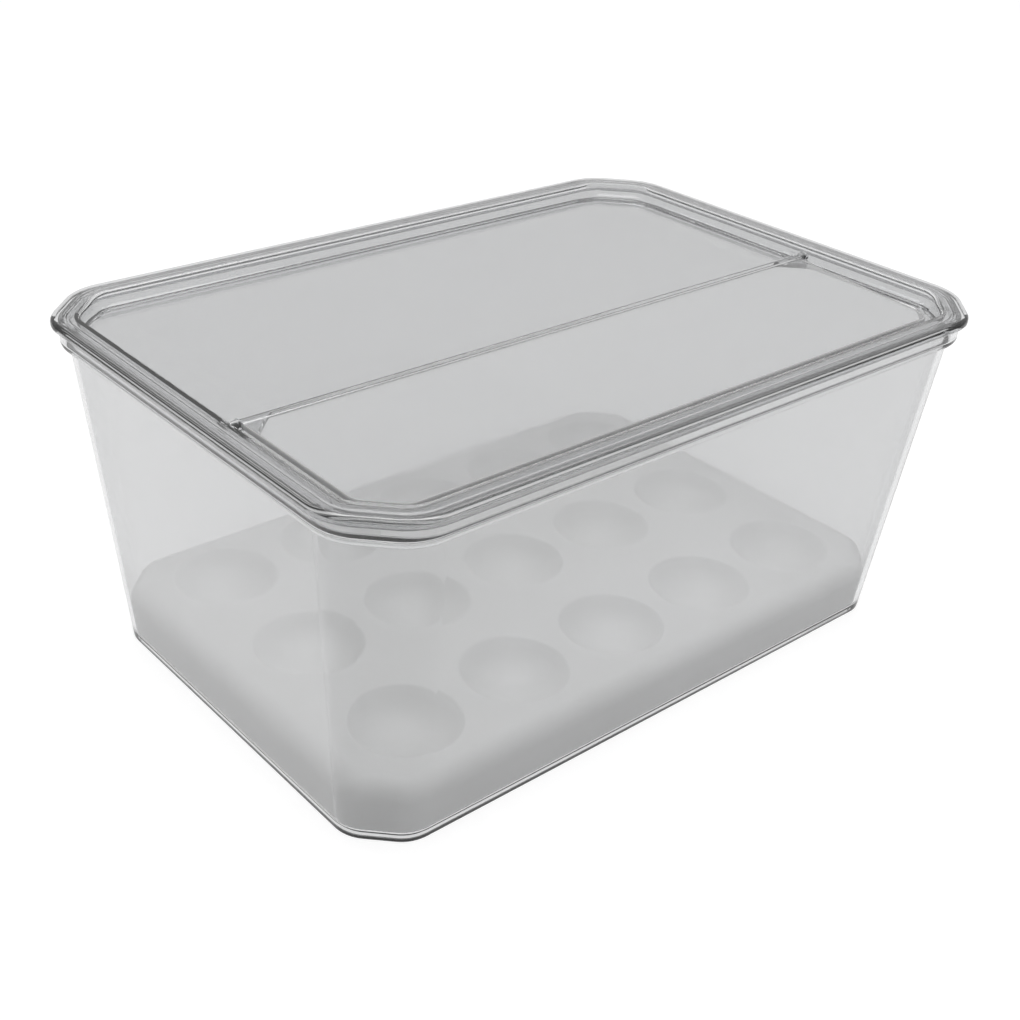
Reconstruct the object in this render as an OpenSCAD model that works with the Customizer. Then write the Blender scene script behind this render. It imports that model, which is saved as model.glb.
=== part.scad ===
// Egg keeper: a clear flared bin with a lift-out egg tray and a lift-off lid, whose front half flips open.
// Millimetres. +X right along the long front side, +Y back, +Z up.
// The origin is the centre of the base, on the surface that the bin stands on.

/* [Bin] */
// Length of the bin at its base
base_length = 274.4; // [250:0.1:290]
// Width of the bin at its base
base_width = 181.8; // [160:0.1:195]
// How far each corner of the base is cut back along both sides
base_chamfer = 16.4; // [12:0.1:24]
// Radius that softens both ends of each cut corner at the base
base_corner_radius = 14.6; // [8:0.1:15]
// Growth of the length from the base up to the top of the bin
length_growth = 22.5; // [10:0.1:24]
// Growth of the width from the base up to the top of the bin
width_growth = 25.1; // [10:0.1:27]
// Height of the bin's top edge
bin_height = 134; // [110:0.5:160]
// Thickness of the bin's walls and collar
bin_wall = 2.2; // [1.6:0.1:2.4]
// Height of the floor's upper face
floor_top = 3.1; // [2.6:0.1:5]
// How far the middle of the underside is raised inside the foot
foot_recess = 0.9; // [0.4:0.1:1.2]
// Height of the stepped-out collar under the bin's top edge
collar_height = 9.4; // [8:0.1:18]

/* [Egg tray] */
// Height of the tray's upper face above the surface that the bin stands on
tray_top = 24; // [20:0.5:34]
// Thickness of the moulded tray
tray_wall = 1.8; // [1.2:0.1:2.2]
// Gap between the tray's side and the bin's wall
tray_gap = 0.6; // [0.3:0.1:2]
// Radius of the tray's upper edge
tray_edge_radius = 8; // [4:0.5:10]
// Egg wells along the length
wells_long = 5; // [3:1:5]
// Egg wells across the width
wells_wide = 3; // [2:1:3]
// Distance between wells along the length
well_pitch_long = 50; // [48:0.5:52]
// Distance between wells across the width
well_pitch_wide = 58; // [48:0.5:60]
// Radius of the round seat that an egg's blunt end rests in
seat_radius = 24.2; // [22:0.1:25]
// Depth of a well
well_depth = 10.6; // [8:0.1:11]
// Depth of the sloping lip round a well
lip_drop = 1.2; // [0.6:0.1:2]

/* [Lid] */
// Length of the lid over its rim
lid_length = 305; // [303:0.1:312]
// Width of the lid over its rim
lid_width = 214.5; // [213:0.1:220]
// How far each corner of the lid is cut back along both sides
lid_chamfer = 21.1; // [18:0.1:28]
// Radius that softens both ends of each cut corner of the lid
lid_corner_radius = 22.3; // [22:0.1:26]
// Thickness of the lid's rim above the bin's top edge
rim_thickness = 2.4; // [2:0.1:3]
// Height of the rim's outer skirt
skirt_height = 3.4; // [3:0.1:9]
// Thickness of the rim's outer skirt and of the recessed panel
lid_wall = 2; // [1.6:0.1:2.2]
// Radius of the rim's rounded shoulder
shoulder_radius = 2; // [1:0.1:2]
// Width of the rim from its outer face to the recess
rim_width = 9.6; // [9:0.1:11]
// Depth of the recessed panel below the rim
recess_depth = 5.5; // [5:0.1:6]
// Radius of the cove between the rim's inner wall and the recessed panel
cove_radius = 4; // [2:0.5:4]

/* [Flip flap] */
// Distance of the hinge axis behind the lid's middle, so a negative value is in front of it
hinge_y = -18; // [-30:0.5:-14]
// Thickness of the flap
flap_thickness = 2.2; // [1.8:0.1:2.4]
// Gap between the flap and the cove beside it
flap_gap = 1.2; // [0.8:0.1:2]
// Width of the ledge that the flap rests on
ledge_width = 5.6; // [4:0.1:8]
// Radius of the barrel along the flap's back edge
barrel_radius = 1.4; // [1.3:0.1:1.6]
// Radius of the pins at both ends of the barrel
pin_radius = 1.1; // [1:0.05:1.3]
// Radial play of a pin in its bore
pin_play = 0.05; // [0.02:0.01:0.1]

/* [Hidden] */

// Segments in each of the eight rounded bends of an outline, and in a quarter round of a profile
bend_steps = 4;
round_steps = 4;
// Facets of round holes, pins and wells
round_fn = 48;
// Length that a cutter runs past the face it cuts
past = 1;
// How far a swept edge and the sheet inside it overlap
joint = 1;

// Clearance between the bin's collar and the lid's skirt
skirt_gap = 0.7;
// Distance of the collar's outer face inside the lid's outer face
collar_inset = lid_wall + skirt_gap;
// Vertical gap that keeps stacked pieces from sharing a face
seat_gap = 0.05;
// Small edge radii
edge_radius = 0.9;
inner_fillet = 1.5;

lid_top = bin_height + seat_gap + rim_thickness;
rim_underside = bin_height + seat_gap;
skirt_bottom = lid_top - skirt_height;
panel_top = lid_top - recess_depth;
panel_underside = panel_top - lid_wall;
// The recess's inner wall, and where its cove reaches the flat of the recessed panel
rim_inner_radius = recess_depth - cove_radius;
wall_inset = rim_width + edge_radius;
cove_inset = wall_inset + cove_radius;

flap_rest_gap = 0.1;
hinge_z = panel_top + flap_rest_gap + flap_thickness / 2;
flap_inset = cove_inset + flap_gap;
// The flap and its barrel end short of the bosses that hold the pins
boss_radius = 2.3;
boss_side_gap = 0.4;
boss_face_x = lid_length / 2 - flap_inset + boss_side_gap;
boss_bore_depth = 3.6;
barrel_end_gap = 0.6;
pin_end_gap = 0.4;
trough_play = 0.35;
// How far bosses run into the recess's inner wall, and how far short of its face the hinge's rib ends
wall_overlap = 0.4;

tray_bottom = floor_top + seat_gap;
tray_edge_cut = 1.6;
tray_inset = bin_wall + tray_gap;
// Outward lean of the tray's side for each millimetre of height
tray_lean = length_growth / 2 / bin_height;
seat_centre_z = tray_top - well_depth + seat_radius;
// Steps of a well's profile from its middle to its lip
seat_steps = 5;

// An outline is a rectangle with cut corners whose eight bends are rounded.
// Its size is [length, width, corner cut, bend radius].
// Bends 0 and 1 are on the +X end, 2 and 3 on the +Y side, and so on round it.
// Centres are whole thousandths of a millimetre, so that pieces swept round them meet exactly.
function thousandths(v) = round(v * 1000) / 1000;
function bend_centre(size, i) =
    let (
        side_x = (i < 3 || i > 6) ? 1 : -1,
        side_y = (i > 0 && i < 5) ? 1 : -1,
        on_end = i == 0 || i == 1 || i == 4 || i == 5,
        x = thousandths(size[0] / 2 - size[3]),
        y = thousandths(size[1] / 2 - size[3]),
        step = thousandths(size[2] - size[3] * (1 - tan(22.5)))
    )
    [side_x * (on_end ? x : x - step), side_y * (on_end ? y - step : y)];

// The points of an outline, anticlockwise
function outline(size) = [
    for (i = [0 : 7], j = [0 : bend_steps])
        let (a = 45 * (i - 1 + j / bend_steps))
        bend_centre(size, i) + size[3] * [cos(a), sin(a)]
];

// The same outline moved inwards by d on every side
function inset(size, d) =
    [size[0] - 2 * d, size[1] - 2 * d, size[2] - d * (2 - sqrt(2)), max(size[3] - d, 0.4)];

lid_size = [lid_length, lid_width, lid_chamfer, lid_corner_radius];

// The bin's outer outline at height z: it grows evenly from the base to the top
function bin_size(z) = [
    base_length + length_growth * z / bin_height,
    base_width + width_growth * z / bin_height,
    base_chamfer + (lid_chamfer - base_chamfer) * z / bin_height,
    base_corner_radius + (lid_corner_radius - base_corner_radius) * 0.6 * z / bin_height
];

// The tray's outline at its lower edge
tray_size = inset(bin_size(tray_bottom), tray_inset);

// A ring of points at height z. A profile point is [distance inside the outer face, height].
function ring(size, z) = [for (p = outline(size)) [p[0], p[1], z]];
function lid_ring(p) = ring(inset(lid_size, p[0]), p[1]);
function bin_ring(p) = ring(inset(bin_size(p[1]), p[0]), p[1]);

// Profile points along an arc from angle a0 to a1, where 0 points inwards and 90 points up
function arc(d, z, r, a0, a1, steps = round_steps) =
    [for (i = [0 : steps]) let (a = a0 + (a1 - a0) * i / steps) [d + r * cos(a), z + r * sin(a)]];

// A profile without its first point
function rest(profile) = [for (i = [1 : len(profile) - 1]) profile[i]];

// A closed profile carried round an outline: a turn at each bend and a straight run to the next
module sweep(size, profile) {
    section = [for (p = profile) [size[3] - p[0], p[1]]];
    for (i = [0 : 7]) {
        here = bend_centre(size, i);
        next = bend_centre(size, (i + 1) % 8);
        translate(here)
            rotate([0, 0, 45 * (i - 1)])
                rotate_extrude(angle = 45, $fn = round_fn)
                    polygon(section);
        translate(next)
            rotate([90, 0, 45 * i])
                linear_extrude(norm(next - here))
                    polygon(section);
    }
}

// A flat sheet that fills an outline moved inwards by d
module sheet(size, d, bottom, top) {
    translate([0, 0, bottom])
        linear_extrude(top - bottom)
            polygon(outline(inset(size, d)));
}

// A solid through a list of rings, from a flat cap on the first to a flat cap on the last
module loft(rings) {
    n = len(rings[0]);
    m = len(rings);
    sides = [
        for (j = [0 : m - 2], i = [0 : n - 1], half = [0, 1])
            let (k = (i + 1) % n, up = (j + 1) * n)
            half == 0 ? [j * n + i, up + k, j * n + k] : [j * n + i, up + i, up + k]
    ];
    caps = [[for (i = [0 : n - 1]) i], [for (i = [n - 1 : -1 : 0]) (m - 1) * n + i]];
    polyhedron([for (r = rings, p = r) p], concat(caps, sides));
}

// The bin: raised underside, foot, flared wall, collar with a rounded lower edge, and the inside
module bin() {
    foot_width = 4.5;
    foot_radius = 1.4;
    foot_inset = foot_width + foot_radius;
    collar_bottom = bin_height - collar_height;
    // The collar's underside curves in until it meets the wall
    collar_radius = 3;
    collar_turn = 247;
    collar_inside = collar_inset + bin_wall;
    ledge_z = collar_bottom + bin_wall;
    ledge_nose = 0.6;
    // Heights of the centres of the profile's rounded corners
    round_z = collar_bottom + collar_radius;
    edge_z = bin_height - edge_radius;
    corner_z = ledge_z + edge_radius;
    fillet_z = floor_top + inner_fillet;
    color([0.86, 0.88, 0.89, 0.35])
        loft(concat(
            [bin_ring([foot_inset + foot_recess, foot_recess])],
            [bin_ring([foot_inset, 0])],
            [for (p = arc(foot_radius, foot_radius, foot_radius, 270, 180)) bin_ring(p)],
            [bin_ring([0, collar_bottom])],
            [for (p = arc(collar_inset + collar_radius, round_z, collar_radius, collar_turn, 180)) lid_ring(p)],
            [for (p = arc(collar_inset + edge_radius, edge_z, edge_radius, 180, 90)) lid_ring(p)],
            [for (p = arc(collar_inside - edge_radius, edge_z, edge_radius, 90, 0)) lid_ring(p)],
            [for (p = arc(collar_inside + edge_radius, corner_z, edge_radius, 180, 270)) lid_ring(p)],
            [for (p = arc(bin_wall + ledge_nose, ledge_z - ledge_nose, -ledge_nose, 270, 360)) bin_ring(p)],
            [for (p = arc(bin_wall + inner_fillet, fillet_z, inner_fillet, 180, 270)) bin_ring(p)]
        ));
}

// A profile point of the tray, moved outwards with the tray's lean
function leaning(p) = [p[0] - tray_lean * (p[1] - tray_bottom), p[1]];

// The tray's side wall and its round upper edge, which ends in a flat
module tray_skirt() {
    round_z = tray_top - tray_edge_radius;
    flat_d = tray_edge_radius + joint;
    profile = concat(
        [[tray_wall, tray_bottom], [tray_edge_cut, tray_bottom], [0, tray_bottom + tray_edge_cut]],
        arc(tray_edge_radius, round_z, tray_edge_radius, 180, 90),
        [[flat_d, tray_top], [flat_d, tray_top - tray_wall]],
        arc(tray_edge_radius, round_z, tray_edge_radius - tray_wall, 90, 180)
    );
    sweep(tray_size, [for (p = profile) leaning(p)]);
}

// Places its child at every well
module each_well() {
    for (i = [0 : wells_long - 1], j = [0 : wells_wide - 1])
        translate([
            (i - (wells_long - 1) / 2) * well_pitch_long,
            (j - (wells_wide - 1) / 2) * well_pitch_wide,
            0
        ])
            children();
}

// The round seat's profile from its lowest point up to height z, as [radius, height]
function seat_profile(r, z) =
    let (turn = acos((seat_centre_z - z) / r))
    [for (i = [0 : seat_steps]) let (a = turn * i / seat_steps) [r * sin(a), seat_centre_z - r * cos(a)]];

// What an egg takes out of the tray: a round seat under a mouth with a sloping lip
module well_hollow() {
    seat = seat_profile(seat_radius, tray_top - lip_drop);
    mouth_radius = seat[seat_steps][0] + lip_drop + past;
    rotate_extrude($fn = round_fn)
        polygon(concat(seat, [[mouth_radius, tray_top + past], [0, tray_top + past]]));
}

// The bowl that stands under a well, one thickness outside its seat
module well_bowl() {
    top = tray_top - tray_wall / 2;
    rotate_extrude($fn = round_fn)
        polygon(concat(seat_profile(seat_radius + tray_wall, top), [[0, top]]));
}

// The white tray: a thin moulding, open below, with a bowl for each egg
module egg_tray() {
    face_d = leaning([tray_edge_radius + joint / 2, tray_top])[0];
    color([0.95, 0.95, 0.94])
        difference() {
            union() {
                tray_skirt();
                sheet(tray_size, face_d, tray_top - tray_wall, tray_top);
                each_well() well_bowl();
            }
            each_well() well_hollow();
        }
}

// The lid's skirt, rim, inner wall and cove, which ends in a flat.
// A rib under the rim drops inside the bin's collar and keeps the lid in its place.
module lid_rim() {
    skirt_radius = 1;
    rib_gap = 0.6;
    rib_thickness = 1.3;
    rib_depth = 2.4;
    rib_outside = collar_inset + bin_wall + rib_gap;
    rib_inside = rib_outside + rib_thickness;
    rib_bottom = rim_underside - rib_depth;
    under_cove = rim_underside - panel_underside;
    sweep(lid_size, concat(
        [[cove_inset + joint, panel_underside]],
        arc(wall_inset - lid_wall + under_cove, rim_underside, under_cove, 270, 180),
        [[rib_inside, rim_underside], [rib_inside, rib_bottom]],
        [[rib_outside, rib_bottom], [rib_outside, rim_underside]],
        [[lid_wall, rim_underside], [lid_wall, skirt_bottom]],
        arc(skirt_radius, skirt_bottom + skirt_radius, skirt_radius, 270, 180, 2),
        arc(shoulder_radius, lid_top - shoulder_radius, shoulder_radius, 180, 90),
        arc(wall_inset - rim_inner_radius, lid_top - rim_inner_radius, rim_inner_radius, 90, 0),
        rest(arc(cove_inset, panel_top + cove_radius, cove_radius, 180, 270)),
        [[cove_inset + joint, panel_top]]
    ));
}

// The opening under the flap, as wide as the recess less the ledge on every side
module lid_opening() {
    size = inset(lid_size, cove_inset + ledge_width);
    back_border = 3;
    back = hinge_y - barrel_radius - back_border;
    intersection() {
        sheet(size, 0, panel_underside - past, panel_top + past);
        translate([-size[0], back - lid_width, panel_underside - 2 * past])
            cube([2 * size[0], lid_width, lid_wall + 4 * past]);
    }
}

// A round bar along X, centred on the hinge axis
module hinge_bar(radius, from_x, to_x) {
    translate([from_x, hinge_y, hinge_z])
        rotate([0, 90, 0])
            cylinder(h = to_x - from_x, r = radius, $fn = round_fn);
}

// The bosses that hold the flap's pins, one at each end of the hinge, grown from the inner wall
module hinge_bosses() {
    boss_length = lid_length / 2 - wall_inset + wall_overlap - boss_face_x;
    web_step = 0.4;
    web_width = 2 * (boss_radius - web_step);
    web_bottom = panel_top - lid_wall / 2;
    for (side = [-1, 1]) {
        start_x = side > 0 ? boss_face_x : -boss_face_x - boss_length;
        hinge_bar(boss_radius, start_x, start_x + boss_length);
        translate([start_x, hinge_y - web_width / 2, web_bottom])
            cube([boss_length, web_width, hinge_z - web_bottom]);
    }
}

// The rib across the lid behind the flap's barrel: a flat top and a cove down to the back panel
module hinge_rib() {
    barrel_gap = 0.5;
    rib_rise = 1.8;
    front = hinge_y + barrel_radius + barrel_gap;
    top = panel_top + rib_rise;
    bottom = panel_top - lid_wall / 4;
    flat_width = 0.8;
    cove_z = panel_top + cove_radius;
    cove_run = sqrt(pow(cove_radius, 2) - pow(cove_z - top, 2));
    foot = front + flat_width + cove_run;
    cove_start = 180 + asin((cove_z - top) / cove_radius);
    half_length = lid_length / 2 - wall_inset - wall_overlap;
    translate([-half_length, 0, 0])
        rotate([90, 0, 90])
            linear_extrude(2 * half_length)
                polygon(concat(
                    [[front, bottom], [front, top]],
                    arc(foot, cove_z, cove_radius, cove_start, 270),
                    [[foot, bottom]]
                ));
}

// The lid: rim and recessed back panel in one piece, open at the front under the flap
module lid_frame() {
    bore_radius = pin_radius + pin_play;
    bore_end_x = boss_face_x + boss_bore_depth;
    // The trough under the barrel runs a little way into the bosses, which fill its ends
    trough_end_x = boss_face_x + past;
    color([0.84, 0.86, 0.87, 0.4])
        difference() {
            union() {
                difference() {
                    union() {
                        lid_rim();
                        sheet(lid_size, cove_inset + joint / 2, panel_underside, panel_top);
                    }
                    lid_opening();
                    hinge_bar(barrel_radius + trough_play, -trough_end_x, trough_end_x);
                }
                hinge_bosses();
                hinge_rib();
            }
            hinge_bar(bore_radius, boss_face_x - past, bore_end_x);
            hinge_bar(bore_radius, -bore_end_x, past - boss_face_x);
        }
}

// The flap's flat leaf: the front part of an outline that follows the recess, with rounded edges
module flap_leaf() {
    bottom = hinge_z - flap_thickness / 2;
    top = hinge_z + flap_thickness / 2;
    edge = 0.7;
    flat_d = flap_inset + edge + joint;
    intersection() {
        union() {
            sweep(lid_size, concat(
                [[flat_d, bottom]],
                arc(flap_inset + edge, bottom + edge, edge, 270, 180, 3),
                arc(flap_inset + edge, top - edge, edge, 180, 90, 3),
                [[flat_d, top]]
            ));
            sheet(lid_size, flat_d - joint / 2, bottom, top);
        }
        translate([-lid_length / 2, hinge_y - lid_width, bottom - past])
            cube([lid_length, lid_width, flap_thickness + 2 * past]);
    }
}

// The flip flap: leaf, barrel along its back edge, and a pin at each end
module flip_flap() {
    barrel_end = boss_face_x - barrel_end_gap;
    pin_end = boss_face_x + boss_bore_depth - pin_end_gap;
    color([0.88, 0.9, 0.91, 0.4])
        union() {
            flap_leaf();
            hinge_bar(barrel_radius, -barrel_end, barrel_end);
            hinge_bar(pin_radius, -pin_end, pin_end);
        }
}

bin();
egg_tray();
lid_frame();
flip_flap();
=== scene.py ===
import math

import bmesh
import bpy
from mathutils import Matrix, Vector
from mathutils.geometry import delaunay_2d_cdt


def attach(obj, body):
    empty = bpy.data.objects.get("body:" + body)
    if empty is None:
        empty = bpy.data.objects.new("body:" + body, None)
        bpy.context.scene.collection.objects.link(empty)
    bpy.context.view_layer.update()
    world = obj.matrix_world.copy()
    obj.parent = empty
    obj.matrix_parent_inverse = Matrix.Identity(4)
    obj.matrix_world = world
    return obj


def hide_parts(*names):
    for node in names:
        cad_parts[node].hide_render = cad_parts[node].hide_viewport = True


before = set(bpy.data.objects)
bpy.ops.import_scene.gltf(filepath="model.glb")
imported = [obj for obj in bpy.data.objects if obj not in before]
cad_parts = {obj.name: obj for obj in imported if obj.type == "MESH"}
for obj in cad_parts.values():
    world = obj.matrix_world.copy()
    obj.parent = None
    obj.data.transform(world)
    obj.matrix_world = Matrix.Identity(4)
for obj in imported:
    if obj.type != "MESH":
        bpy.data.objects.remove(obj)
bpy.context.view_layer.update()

MM = 0.001

# Sizes in millimetres, as in part.scad. An outline's size is its length, width, corner cut and bend radius
BASE = (274.4, 181.8, 16.4, 14.6)
GROWTH = (22.5, 25.1)
# How much of the way to the lid's wider bends the bin's bends get at its top
BEND_SHARE = 0.6
BIN_HEIGHT = 134.0
BIN_WALL = 2.2
FLOOR_TOP = 3.1
FOOT_RECESS = 0.9
FOOT_INSET = 5.9
COLLAR_HEIGHT = 9.4
COLLAR_INSET = 2.7
COLLAR_RADIUS = 3.0
COLLAR_TURN = 247

LID = (305.0, 214.5, 21.1, 22.3)
LID_TOP = 136.45
LID_WALL = 2.0
RIM_UNDERSIDE = 134.05
SKIRT_BOTTOM = 133.05
RIB_OUTSIDE = 5.5
RIB_INSIDE = 6.8
RIB_BOTTOM = 131.65
PANEL_TOP = 130.95
PANEL_UNDERSIDE = 128.95
SHOULDER = 2.0
COVE = 4.0
WALL_INSET = 10.5
COVE_INSET = 14.5
# The ledge under the flap is shown narrower than in part.scad, as the photograph has it
LEDGE = 3.0

HINGE_Y = -18.0
HINGE_Z = 132.15
FLAP_THICKNESS = 2.2
FLAP_INSET = 15.7
BARREL_RADIUS = 1.4
PIN_RADIUS = 1.1
PIN_PLAY = 0.05
TROUGH_PLAY = 0.35
BOSS_RADIUS = 2.3
BOSS_FACE = 137.2
BORE_DEPTH = 3.6
BARREL_END = BOSS_FACE - 0.6
PIN_END = BOSS_FACE + BORE_DEPTH - 0.4
OVERLAP = 0.4

# The rib behind the barrel, the cove behind it, and where that cove starts and ends
RIB_FRONT = HINGE_Y + BARREL_RADIUS + 0.5
RIB_TOP = PANEL_TOP + 1.8
RIB_FLAT = 0.8
COVE_RISE = PANEL_TOP + COVE - RIB_TOP
COVE_RUN = math.sqrt(COVE**2 - COVE_RISE**2)
COVE_START = 180 + math.degrees(math.asin(COVE_RISE / COVE))
RIB_FOOT = RIB_FRONT + RIB_FLAT + COVE_RUN

TRAY_TOP = 24.0
TRAY_WALL = 1.8
TRAY_BOTTOM = 3.15
TRAY_EDGE = 8.0
TRAY_INSET = 2.8
TRAY_LEAN = GROWTH[0] / 2 / BIN_HEIGHT
SEAT_RADIUS = 24.2
WELL_DEPTH = 10.6
LIP = 1.2
SEAT_Z = TRAY_TOP - WELL_DEPTH + SEAT_RADIUS
PITCH = (50.0, 58.0)
WELLS = (5, 3)

BEND_STEPS = 14
ROUND_STEPS = 96


# Outlines and profiles
def bend_centre(size, i):
    """Centre of one of the eight bends of an outline, counted from the one that faces +X and -Y."""
    length, width, cut, radius = size
    side_x = 1 if i < 3 or i > 6 else -1
    side_y = 1 if 0 < i < 5 else -1
    x, y = length / 2 - radius, width / 2 - radius
    step = cut - radius * (1 - math.tan(math.radians(22.5)))
    on_end = i in (0, 1, 4, 5)
    return side_x * (x if on_end else x - step), side_y * (y - step if on_end else y)


def outline(size, bends=range(8), steps=BEND_STEPS):
    """Points of a rectangle with cut corners and rounded bends."""
    points = []
    for i in bends:
        cx, cy = bend_centre(size, i)
        for j in range(steps + 1):
            a = math.radians(45 * (i - 1 + j / steps))
            points.append((cx + size[3] * math.cos(a), cy + size[3] * math.sin(a)))
    return points


def inset(size, d):
    """An outline moved inward by d, with its cuts kept parallel."""
    length, width, cut, radius = size
    smallest_radius = 0.4
    return length - 2 * d, width - 2 * d, cut - d * (2 - math.sqrt(2)), max(radius - d, smallest_radius)


def bin_size(z):
    """Outside outline of the flared bin at a height."""
    t = z / BIN_HEIGHT
    return (
        BASE[0] + GROWTH[0] * t,
        BASE[1] + GROWTH[1] * t,
        BASE[2] + (LID[2] - BASE[2]) * t,
        BASE[3] + (LID[3] - BASE[3]) * BEND_SHARE * t,
    )


def ring(size, z):
    return [(x, y, z) for x, y in outline(size)]


def lid_ring(p):
    """Ring round the lid from a profile point: its distance inside the outline, and its height."""
    return ring(inset(LID, p[0]), p[1])


def bin_ring(p):
    """The same round the bin's leaning wall."""
    return ring(inset(bin_size(p[1]), p[0]), p[1])


def arc(d, z, r, a0, a1, steps=8):
    """Profile points on an arc between two angles in degrees."""
    points = []
    for i in range(steps + 1):
        a = math.radians(a0 + (a1 - a0) * i / steps)
        points.append((d + r * math.cos(a), z + r * math.sin(a)))
    return points


# Mesh helpers
def make(name, verts, faces):
    """A new object from points in millimetres."""
    mesh = bpy.data.meshes.new(name)
    mesh.from_pydata([(x * MM, y * MM, z * MM) for x, y, z in verts], [], faces)
    bm = bmesh.new()
    bm.from_mesh(mesh)
    bmesh.ops.remove_doubles(bm, verts=bm.verts, dist=1e-7)
    bmesh.ops.recalc_face_normals(bm, faces=bm.faces)
    bm.to_mesh(mesh)
    bm.free()
    obj = bpy.data.objects.new(name, mesh)
    bpy.context.scene.collection.objects.link(obj)
    return obj


def skin(n, first, second):
    """Faces between two rings of n points that start at these indices."""
    return [(first + i, first + (i + 1) % n, second + (i + 1) % n, second + i) for i in range(n)]


def loft(name, rings, closed=False):
    """A skin over rings with as many points each, capped at both ends or closed on itself."""
    n, m = len(rings[0]), len(rings)
    verts = [p for r in rings for p in r]
    faces = [f for j in range(m if closed else m - 1) for f in skin(n, j * n, (j + 1) % m * n)]
    if not closed:
        faces += [tuple(range(n)), tuple(range((m - 1) * n, m * n))]
    return make(name, verts, faces)


def prism(name, section, x0, x1):
    """A section of (y, z) points drawn out along X."""
    return loft(name, [[(x, y, z) for y, z in section] for x in (x0, x1)])


def bar(name, radius, x0, x1, steps=48):
    """A round bar along the hinge's axis."""
    turns = [2 * math.pi * k / steps for k in range(steps)]
    section = [(HINGE_Y + radius * math.cos(a), HINGE_Z + radius * math.sin(a)) for a in turns]
    return prism(name, section, x0, x1)


def block(name, low, high):
    (x0, y0, z0), (x1, y1, z1) = low, high
    plan = [(x0, y0), (x1, y0), (x1, y1), (x0, y1)]
    return loft(name, [[(x, y, z) for x, y in plan] for z in (z0, z1)])


def boolean(obj, tool, operation):
    """Cut or join a second mesh, which is used up."""
    mod = obj.modifiers.new("cut", "BOOLEAN")
    mod.operation, mod.object, mod.solver = operation, tool, "EXACT"
    bpy.context.view_layer.update()
    graph = bpy.context.evaluated_depsgraph_get()
    mesh = bpy.data.meshes.new_from_object(obj.evaluated_get(graph))
    obj.modifiers.clear()
    obj.data = mesh
    bpy.data.objects.remove(tool)
    return obj


def dress(obj, body, node, material, satin=None, on_edge=None):
    """Finish a piece and put it on its body, with the satin material on the upright faces of its edges."""
    sharp, upright = 32, 0.97
    obj.data.materials.clear()
    obj.data.materials.append(material)
    if satin:
        obj.data.materials.append(satin)
        for face in obj.data.polygons:
            x, y, z = face.center / MM
            face.material_index = int(abs(face.normal.z) < upright and on_edge(x, y, z))
    obj.data.polygons.foreach_set("use_smooth", [True] * len(obj.data.polygons))
    obj.data.set_sharp_from_angle(angle=math.radians(sharp))
    mod = obj.modifiers.new("flat faces stay flat", "WEIGHTED_NORMAL")
    mod.keep_sharp = True
    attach(obj, body)
    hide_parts(node)
    return obj


# The pieces
def build_bin():
    foot_round, top_round, ledge_round, floor_round = 1.4, 0.9, 0.6, 1.5
    collar_bottom = BIN_HEIGHT - COLLAR_HEIGHT
    inside = COLLAR_INSET + BIN_WALL
    ledge = collar_bottom + BIN_WALL
    rings = [bin_ring((FOOT_INSET + FOOT_RECESS, FOOT_RECESS)), bin_ring((FOOT_INSET, 0))]
    rings += [bin_ring(p) for p in arc(foot_round, foot_round, foot_round, 270, 180)]
    rings += [bin_ring((0, collar_bottom))]
    bend = COLLAR_RADIUS
    collar = arc(COLLAR_INSET + bend, collar_bottom + bend, bend, COLLAR_TURN, 180)
    collar += arc(COLLAR_INSET + top_round, BIN_HEIGHT - top_round, top_round, 180, 90)
    collar += arc(inside - top_round, BIN_HEIGHT - top_round, top_round, 90, 0)
    collar += arc(inside + top_round, ledge + top_round, top_round, 180, 270)
    rings += [lid_ring(p) for p in collar]
    inner = arc(BIN_WALL + ledge_round, ledge - ledge_round, -ledge_round, 270, 360)
    inner += arc(BIN_WALL + floor_round, FLOOR_TOP + floor_round, floor_round, 180, 270)
    rings += [bin_ring(p) for p in inner]
    return loft("clear_bin", rings)


def within(loop, x, y):
    """Whether a point lies inside a closed loop."""
    odd = False
    for (x0, y0), (x1, y1) in zip(loop, loop[1:] + loop[:1]):
        if (y0 > y) != (y1 > y) and x < x0 + (x1 - x0) * (y - y0) / (y1 - y0):
            odd = not odd
    return odd


def flat_with_holes(loop, holes):
    """Triangles inside a loop and outside its holes, as triples of indices into all the points."""
    points = list(loop)
    edges = [(i, (i + 1) % len(loop)) for i in range(len(loop))]
    for centre, radius, circle in holes:
        start = len(points)
        points += circle
        edges += [(start + i, start + (i + 1) % len(circle)) for i in range(len(circle))]
    _, _, faces, origin, _, _ = delaunay_2d_cdt([Vector(p) for p in points], edges, [], 0, 1e-7)
    placed = [o[0] for o in origin]
    kept = []
    for f in faces:
        tri = [placed[i] for i in f]
        x = sum(points[i][0] for i in tri) / 3
        y = sum(points[i][1] for i in tri) / 3
        if within(loop, x, y) and all(math.hypot(x - c[0], y - c[1]) > r * 0.999 for c, r, _ in holes):
            kept.append(tri)
    return kept


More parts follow.
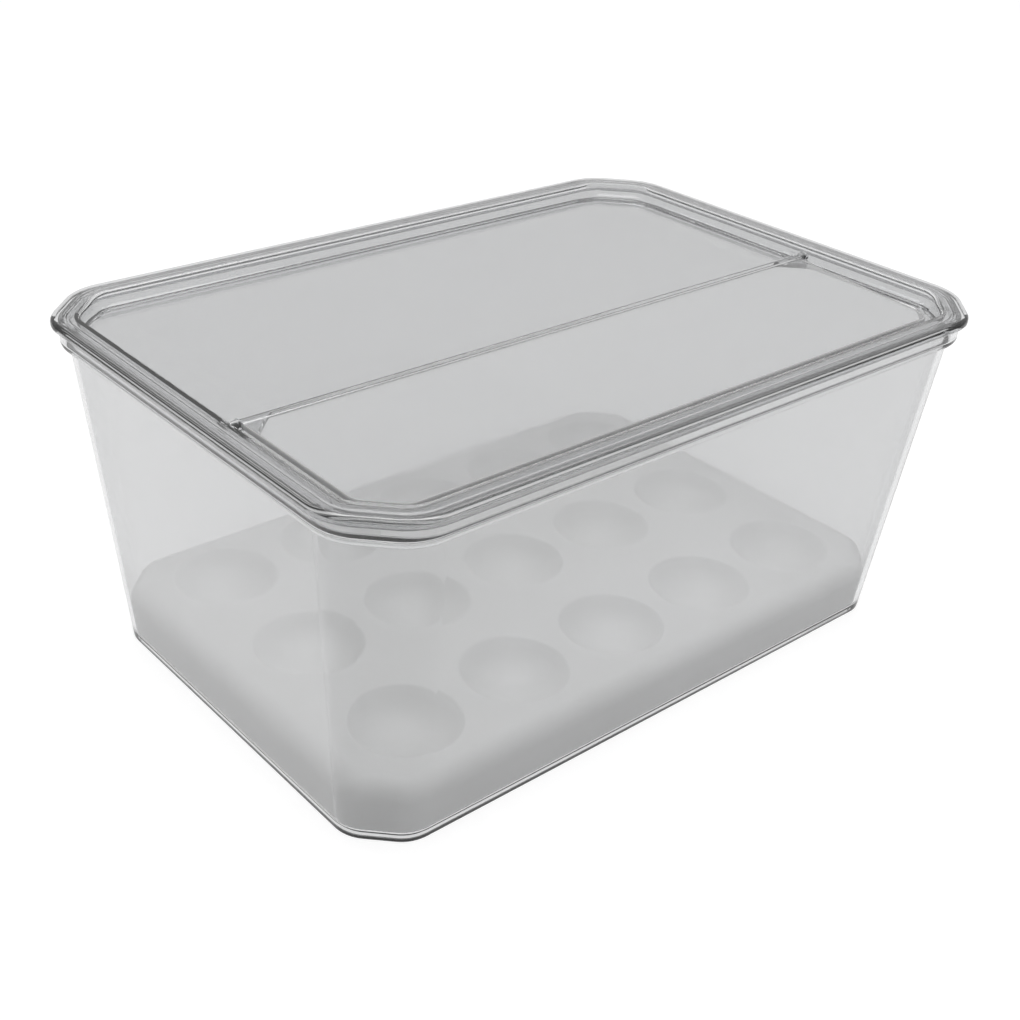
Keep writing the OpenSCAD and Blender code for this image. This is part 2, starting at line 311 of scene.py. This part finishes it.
def build_tray():
    steps = ROUND_STEPS
    size = inset(bin_size(TRAY_BOTTOM), TRAY_INSET)

    def tray_ring(d, z):
        return ring(inset(size, d - TRAY_LEAN * (z - TRAY_BOTTOM)), z)

    # From the inner edge of the upper flat, out and down the side, round the lower edge and up the inside
    profile = arc(TRAY_EDGE, TRAY_TOP - TRAY_EDGE, TRAY_EDGE, 90, 180, 12)
    low_round = 0.8
    profile += arc(low_round, TRAY_BOTTOM + low_round, low_round, 180, 270, 4)
    profile += [(TRAY_WALL, TRAY_BOTTOM)]
    profile += arc(TRAY_EDGE, TRAY_TOP - TRAY_EDGE, TRAY_EDGE - TRAY_WALL, 180, 90, 10)
    rings = [tray_ring(*p) for p in profile]
    n = len(rings[0])
    verts = [p for r in rings for p in r]
    faces = [f for j in range(len(rings) - 1) for f in skin(n, j * n, (j + 1) * n)]

    lip_low = math.sqrt(SEAT_RADIUS**2 - (SEAT_Z - TRAY_TOP + LIP) ** 2)
    mouth = lip_low + LIP
    # Well profile as (radius, height): a softened mouth edge, the lip's foot, and the round seat
    well = [(mouth + 0.63, TRAY_TOP), (mouth + 0.294, TRAY_TOP - 0.084), (mouth - 0.07, TRAY_TOP - 0.294)]
    well += [(lip_low + 0.45, TRAY_TOP - LIP + 0.2), (lip_low + 0.1, TRAY_TOP - LIP - 0.25)]
    seat_start = LIP + 0.6
    end = math.acos((SEAT_Z - TRAY_TOP + seat_start) / SEAT_RADIUS)
    for k in range(15, 0, -1):
        a = end * k / 15
        well.append((SEAT_RADIUS * math.sin(a), SEAT_Z - SEAT_RADIUS * math.cos(a)))
    bowl_r = SEAT_RADIUS + TRAY_WALL
    bowl = []
    under = TRAY_TOP - TRAY_WALL
    end = math.acos((SEAT_Z - under) / bowl_r)
    for k in range(14, 0, -1):
        a = end * k / 14
        bowl.append((bowl_r * math.sin(a), SEAT_Z - bowl_r * math.cos(a)))

    def dish(centre, points, pole):
        start = len(verts)
        for r, z in points:
            for k in range(steps):
                a = 2 * math.pi * k / steps
                verts.append((centre[0] + r * math.cos(a), centre[1] + r * math.sin(a), z))
        for j in range(len(points) - 1):
            faces.extend(skin(steps, start + j * steps, start + (j + 1) * steps))
        verts.append((centre[0], centre[1], pole))
        last = start + (len(points) - 1) * steps
        faces.extend((last + k, last + (k + 1) % steps, len(verts) - 1) for k in range(steps))
        return [start + k for k in range(steps)]

    centres = [
        ((i - (WELLS[0] - 1) / 2) * PITCH[0], (j - (WELLS[1] - 1) / 2) * PITCH[1])
        for i in range(WELLS[0])
        for j in range(WELLS[1])
    ]
    for first_ring, points, pole in (
        (0, well, SEAT_Z - SEAT_RADIUS),
        ((len(rings) - 1) * n, bowl, SEAT_Z - bowl_r),
    ):
        indices = [first_ring + k for k in range(n)]
        holes = []
        for c in centres:
            loop = dish(c, points, pole)
            indices += loop
            holes.append((c, points[0][0], [verts[i][:2] for i in loop]))
        triangles = flat_with_holes([verts[first_ring + k][:2] for k in range(n)], holes)
        faces.extend(tuple(indices[i] for i in t) for t in triangles)
    return make("white_tray", verts, faces)


def hinge_rib():
    """The rib behind the flap's barrel, with its cove down to the back panel."""
    bottom, half = PANEL_TOP - 0.5, LID[0] / 2 - WALL_INSET - OVERLAP
    soft = 0.25
    profile = [(RIB_FRONT, bottom)] + arc(RIB_FRONT + soft, RIB_TOP - soft, soft, 180, 90, 4)
    profile += arc(RIB_FOOT, PANEL_TOP + COVE, COVE, COVE_START, 270, 10) + [(RIB_FOOT, bottom)]
    return prism("rib", profile, -half, half)


def pocket_corner(side):
    """What rounds the corner between the rib's cove and the cove at the lid's end."""
    radius = 4.5
    centre = (side * (LID[0] / 2 - COVE_INSET - radius), RIB_FOOT + radius)
    x0, x1 = sorted((centre[0], side * (LID[0] / 2 - WALL_INSET)))
    corner = block("corner", (x0, RIB_FRONT + 0.3, PANEL_TOP - 0.5), (x1, centre[1], RIB_TOP - 0.02))
    profile = [(radius, PANEL_TOP - 0.05)]
    profile += [(radius - d, z) for d, z in arc(0, PANEL_TOP + COVE, COVE, 270, COVE_START, 10)]
    profile += [(radius + COVE_RUN, RIB_TOP + 0.3)]
    turns = [2 * math.pi * k / ROUND_STEPS for k in range(ROUND_STEPS)]
    circle = [(math.cos(a), math.sin(a)) for a in turns]
    rings = [[(centre[0] + r * x, centre[1] + r * y, z) for x, y in circle] for r, z in profile]
    boolean(corner, loft("pocket", rings), "DIFFERENCE")
    return corner


IN_FRONT_OF_HINGE = HINGE_Y - 4
INSIDE_COVE = outline(inset(LID, COVE_INSET + LEDGE - 1.0))


def on_flap_edge(x, y, z):
    return y < IN_FRONT_OF_HINGE


def on_ledge_edge(x, y, z):
    return z < PANEL_TOP + 0.05 and y < IN_FRONT_OF_HINGE and within(INSIDE_COVE, x, y)


def build_lid():
    under_cove = RIM_UNDERSIDE - PANEL_UNDERSIDE
    rim_inner = LID_TOP - PANEL_TOP - COVE
    open_0 = inset(LID, COVE_INSET + LEDGE)
    back, front = RIB_FRONT, -open_0[1] / 2
    corner_round = 4.0
    open_size = (open_0[0], back - front, open_0[2], corner_round)

    def open_ring(d, z):
        return [(x, y + (back + front) / 2, z) for x, y, z in ring(inset(open_size, d), z)]

    edge, rib_round, skirt_round, skirt_corner = 0.9, 0.4, 1.0, 0.25
    profile = arc(WALL_INSET - LID_WALL + under_cove, RIM_UNDERSIDE, under_cove, 270, 180, 10)
    profile += [(RIB_INSIDE, RIM_UNDERSIDE)]
    profile += arc(RIB_INSIDE - rib_round, RIB_BOTTOM + rib_round, rib_round, 0, -90, 4)
    profile += arc(RIB_OUTSIDE + rib_round, RIB_BOTTOM + rib_round, rib_round, 270, 180, 4)
    profile += [(RIB_OUTSIDE, RIM_UNDERSIDE), (LID_WALL, RIM_UNDERSIDE)]
    profile += arc(LID_WALL - skirt_corner, SKIRT_BOTTOM + skirt_corner, skirt_corner, 0, -90, 3)
    profile += arc(skirt_round, SKIRT_BOTTOM + skirt_round, skirt_round, 270, 180, 8)
    profile += arc(SHOULDER, LID_TOP - SHOULDER, SHOULDER, 180, 90, 12)
    profile += arc(WALL_INSET - rim_inner, LID_TOP - rim_inner, rim_inner, 90, 0, 8)
    profile += arc(COVE_INSET, PANEL_TOP + COVE, COVE, 180, 270, 14)[1:]
    rings = [open_ring(-edge, PANEL_UNDERSIDE)]
    rings += [lid_ring(p) for p in profile]
    rings += [open_ring(-d, z) for d, z in arc(edge, PANEL_TOP - edge, edge, 90, 180, 6)]
    rings += [open_ring(-d, z) for d, z in arc(edge, PANEL_UNDERSIDE + edge, edge, 180, 270, 6)[:-1]]
    lid = loft("clear_lid", rings, closed=True)

    boolean(lid, bar("trough", BARREL_RADIUS + TROUGH_PLAY, -BOSS_FACE - 1, BOSS_FACE + 1), "DIFFERENCE")
    boss_end = LID[0] / 2 - WALL_INSET + OVERLAP
    web = BOSS_RADIUS - OVERLAP
    boolean(lid, hinge_rib(), "UNION")
    for side in (-1, 1):
        boolean(lid, pocket_corner(side), "UNION")
        x0, x1 = sorted((side * BOSS_FACE, side * boss_end))
        boolean(lid, bar("boss", BOSS_RADIUS, x0, x1), "UNION")
        web_block = block("web", (x0, HINGE_Y - web, PANEL_TOP - 1), (x1, HINGE_Y + web, HINGE_Z))
        boolean(lid, web_block, "UNION")
        x0, x1 = sorted((side * (BOSS_FACE - 1), side * (BOSS_FACE + BORE_DEPTH)))
        boolean(lid, bar("bore", PIN_RADIUS + PIN_PLAY, x0, x1), "DIFFERENCE")
    return lid


def build_flap():
    bottom, top, edge = HINGE_Z - FLAP_THICKNESS / 2, HINGE_Z + FLAP_THICKNESS / 2, 0.7

    def leaf_ring(d, z):
        size = inset(LID, d)
        x = size[0] / 2
        loop = [(x, HINGE_Y), (-x, HINGE_Y)] + outline(size, (5, 6, 7, 8))
        return [(px, py, z) for px, py in loop]

    profile = arc(FLAP_INSET + edge, bottom + edge, edge, 270, 180, 6)
    profile += arc(FLAP_INSET + edge, top - edge, edge, 180, 90, 6)
    flap = loft("clear_flap", [leaf_ring(*p) for p in profile])
    boolean(flap, bar("barrel", BARREL_RADIUS, -BARREL_END, BARREL_END), "UNION")
    # A slow taper from the barrel to the leaf, in place of the step between them
    run, sunk = 2.5, 0.01
    taper = [
        (HINGE_Y, HINGE_Z + BARREL_RADIUS),
        (HINGE_Y, HINGE_Z - BARREL_RADIUS),
        (HINGE_Y - run, bottom + sunk),
        (HINGE_Y - run, top - sunk),
    ]
    boolean(flap, prism("taper", taper, -BARREL_END, BARREL_END), "UNION")
    boolean(flap, bar("pins", PIN_RADIUS, -PIN_END, PIN_END), "UNION")
    return flap


# Materials
PLASTIC_IOR = 1.49
# Places of a colour Mix node's sockets, which share their names with its other types
COLOUR_A = 6
COLOUR_B = 7
COLOUR_RESULT = 2


def new_material(name):
    material = bpy.data.materials.new(name)
    material.use_nodes = True
    nodes, links = material.node_tree.nodes, material.node_tree.links
    return material, nodes, links, nodes["Principled BSDF"]


def noise(nodes, links, scale, detail, where):
    """Noise in the object's own coordinates, so it moves with its piece."""
    n = nodes.new("ShaderNodeTexNoise")
    n.inputs["Scale"].default_value = scale
    n.inputs["Detail"].default_value = detail
    links.new(where.outputs["Object"], n.inputs["Vector"])
    return n


def ramp(nodes, links, source, low, high):
    """Spreads a noise, which lies mostly between 0.35 and 0.65, over a range from low to high."""
    r = nodes.new("ShaderNodeMapRange")
    r.inputs["From Min"].default_value = 0.35
    r.inputs["From Max"].default_value = 0.65
    r.inputs["To Min"].default_value = low
    r.inputs["To Max"].default_value = high
    links.new(source, r.inputs["Value"])
    return r


def clear_plastic(name, colour, rough, haze_scale, clearness=1.0):
    """Clear moulded plastic: a smooth surface with faint handling haze and the slow waves of a moulding."""
    material, nodes, links, shader = new_material(name)
    where = nodes.new("ShaderNodeTexCoord")
    shader.inputs["Base Color"].default_value = (*colour, 1)
    shader.inputs["IOR"].default_value = PLASTIC_IOR
    shader.inputs["Transmission Weight"].default_value = clearness
    haze = noise(nodes, links, haze_scale, 4.0, where)
    roughness = ramp(nodes, links, haze.outputs["Fac"], rough[0], rough[1])
    links.new(roughness.outputs["Result"], shader.inputs["Roughness"])
    waves = noise(nodes, links, 22.0, 2.0, where)
    bump = nodes.new("ShaderNodeBump")
    bump.inputs["Strength"].default_value = 0.03
    bump.inputs["Distance"].default_value = 0.001
    links.new(waves.outputs["Fac"], bump.inputs["Height"])
    links.new(bump.outputs["Normal"], shader.inputs["Normal"])
    # Lamps reach what is inside through a plain see-through surface
    path = nodes.new("ShaderNodeLightPath")
    through = nodes.new("ShaderNodeBsdfTransparent")
    through.inputs["Color"].default_value = (*[0.5 + 0.5 * c for c in colour], 1)
    mix = nodes.new("ShaderNodeMixShader")
    links.new(path.outputs["Is Shadow Ray"], mix.inputs[0])
    links.new(shader.outputs[0], mix.inputs[1])
    links.new(through.outputs[0], mix.inputs[2])
    links.new(mix.outputs[0], nodes["Material Output"].inputs["Surface"])
    return material


def white_plastic(name):
    """White moulded plastic: a slow change of tone and a fine eggshell grain."""
    material, nodes, links, shader = new_material(name)
    where = nodes.new("ShaderNodeTexCoord")
    tone = noise(nodes, links, 9.0, 3.0, where)
    shade = ramp(nodes, links, tone.outputs["Fac"], 0.0, 1.0)
    mix = nodes.new("ShaderNodeMix")
    mix.data_type = "RGBA"
    mix.inputs[COLOUR_A].default_value = (0.80, 0.80, 0.795, 1)
    mix.inputs[COLOUR_B].default_value = (0.84, 0.84, 0.84, 1)
    links.new(shade.outputs["Result"], mix.inputs[0])
    links.new(mix.outputs[COLOUR_RESULT], shader.inputs["Base Color"])
    grain = noise(nodes, links, 900.0, 2.0, where)
    roughness = ramp(nodes, links, grain.outputs["Fac"], 0.38, 0.5)
    links.new(roughness.outputs["Result"], shader.inputs["Roughness"])
    bump = nodes.new("ShaderNodeBump")
    bump.inputs["Strength"].default_value = 0.08
    bump.inputs["Distance"].default_value = 0.0002
    links.new(grain.outputs["Fac"], bump.inputs["Height"])
    links.new(bump.outputs["Normal"], shader.inputs["Normal"])
    shader.inputs["IOR"].default_value = PLASTIC_IOR
    return material


bin_plastic = clear_plastic("clear bin plastic", (0.735, 0.738, 0.742), (0.02, 0.07), 14.0)
lid_plastic = clear_plastic("clear lid plastic", (0.67, 0.673, 0.677), (0.02, 0.06), 18.0)
flap_plastic = clear_plastic("clear flap plastic", (0.70, 0.703, 0.707), (0.02, 0.06), 18.0)
satin_edge = clear_plastic("satin moulded edge", (0.8, 0.8, 0.8), (0.3, 0.45), 60.0, 0.35)
tray_plastic = white_plastic("white tray plastic")

dress(build_bin(), "bin", "bin", bin_plastic)
dress(build_tray(), "tray", "egg_tray", tray_plastic)
dress(build_lid(), "lid", "lid_frame", lid_plastic, satin_edge, on_ledge_edge)
dress(build_flap(), "flap", "flip_flap", flap_plastic, satin_edge, on_flap_edge)


# Floor, backdrop and light
def seen_directly(nodes, links):
    """1 for rays from the camera and for those that glass and gloss pass on, and 0 for the rest."""
    path = nodes.new("ShaderNodeLightPath")
    total = path.outputs["Is Camera Ray"]
    for other in ("Is Glossy Ray", "Is Transmission Ray"):
        add = nodes.new("ShaderNodeMath")
        add.operation, add.use_clamp = "ADD", True
        links.new(total, add.inputs[0])
        links.new(path.outputs[other], add.inputs[1])
        total = add.outputs[0]
    return total


FLOOR_SIZE = 8
FLOOR_Z = -0.0003
FLOOR_TONE = 0.34
FLOOR_GLOW = 0.83
ROOM_LIGHT = 0.47
HORIZON_LIGHT = 0.55

bpy.ops.mesh.primitive_plane_add(size=FLOOR_SIZE, location=(0, 0, FLOOR_Z))
floor = bpy.context.object
floor.name = "floor"
paper, nodes, links, shader = new_material("white floor")
shader.inputs["Base Color"].default_value = (FLOOR_TONE, FLOOR_TONE, FLOOR_TONE, 1)
shader.inputs["Roughness"].default_value = 1.0
shader.inputs["Specular IOR Level"].default_value = 0.0
shader.inputs["Emission Color"].default_value = (1, 1, 1, 1)
glow = nodes.new("ShaderNodeMath")
glow.operation = "MULTIPLY"
glow.inputs[1].default_value = FLOOR_GLOW
links.new(seen_directly(nodes, links), glow.inputs[0])
links.new(glow.outputs[0], shader.inputs["Emission Strength"])
floor.data.materials.append(paper)

world = bpy.data.worlds.new("studio")
bpy.context.scene.world = world
world.use_nodes = True
nodes, links = world.node_tree.nodes, world.node_tree.links
background = nodes["Background"]
background.inputs["Color"].default_value = (1, 1, 1, 1)
direction = nodes.new("ShaderNodeTexCoord")
height = nodes.new("ShaderNodeSeparateXYZ")
links.new(direction.outputs["Generated"], height.inputs[0])
# Clear plastic picks up a room that is dimmer near the horizon than overhead
room = nodes.new("ShaderNodeMapRange")
room.inputs["From Min"].default_value = 0.05
room.inputs["From Max"].default_value = 0.75
room.inputs["To Min"].default_value = HORIZON_LIGHT
room.inputs["To Max"].default_value = 1.0
links.new(height.outputs["Z"], room.inputs["Value"])
from_camera = nodes.new("ShaderNodeLightPath").outputs["Is Camera Ray"]
clear = nodes.new("ShaderNodeMath")
clear.operation = "MAXIMUM"
links.new(room.outputs["Result"], clear.inputs[0])
links.new(from_camera, clear.inputs[1])
strength = nodes.new("ShaderNodeMix")
strength.inputs["A"].default_value = ROOM_LIGHT
links.new(seen_directly(nodes, links), strength.inputs["Factor"])
links.new(clear.outputs[0], strength.inputs["B"])
links.new(strength.outputs["Result"], background.inputs["Strength"])


def softbox(name, place, towards, size, power):
    data = bpy.data.lights.new(name, "AREA")
    data.shape, data.size, data.size_y, data.energy = "RECTANGLE", size[0], size[1], power
    lamp = bpy.data.objects.new(name, data)
    lamp.location = place
    lamp.rotation_euler = (Vector(towards) - Vector(place)).to_track_quat("-Z", "Y").to_euler()
    bpy.context.scene.collection.objects.link(lamp)
    return lamp


softbox("overhead", (0.1, 0.2, 1.3), (0, 0, 0.05), (0.9, 0.7), 5.0)
softbox("front", (-0.2, -1.2, 0.9), (0, 0, 0.06), (0.6, 0.6), 1.0)
# Two narrow strips behind give highlights along the coves and rounded edges, and are seen in nothing else
strips = (
    ("low strip", (1.05, 1.20, 0.22), 0.6),
    ("high strip", (0.45, 0.50, 0.95), 0.5),
)
for name, place, power in strips:
    strip = softbox(name, place, (0, 0, 0.13), (0.7, 0.05), power)
    strip.visible_camera = strip.visible_transmission = False


# Camera
IMAGE = 1020
FOCAL_PIXELS = 1436.3
PRINCIPAL_X = 484.9
PRINCIPAL_Y = 538.1
SENSOR = 36.0
LID_LENGTH = LID[0] * MM
azimuth, elevation, roll = -0.7218, 0.5381, 0.049
distance = 1.5923 * LID_LENGTH
look = Vector((-0.2275, -0.2009, 0.2881)) * LID_LENGTH
back = Vector((
    math.sin(azimuth) * math.cos(elevation),
    -math.cos(azimuth) * math.cos(elevation),
    math.sin(elevation),
))
side = Vector((0, 0, 1)).cross(back).normalized()
up = back.cross(side)
right = math.cos(roll) * side + math.sin(roll) * up
upright = -math.sin(roll) * side + math.cos(roll) * up
camera_data = bpy.data.cameras.new("camera")
camera = bpy.data.objects.new("camera", camera_data)
bpy.context.scene.collection.objects.link(camera)
turn = Matrix((right, upright, back)).transposed().to_4x4()
camera.matrix_world = Matrix.Translation(look + distance * back) @ turn
camera_data.sensor_width = SENSOR
camera_data.lens = SENSOR * FOCAL_PIXELS / IMAGE
camera_data.shift_x = (IMAGE / 2 - PRINCIPAL_X) / IMAGE
camera_data.shift_y = (PRINCIPAL_Y - IMAGE / 2) / IMAGE
camera_data.clip_start, camera_data.clip_end = 0.01, 50.0
bpy.context.scene.camera = camera
bpy.context.scene.view_settings.view_transform = "Standard"
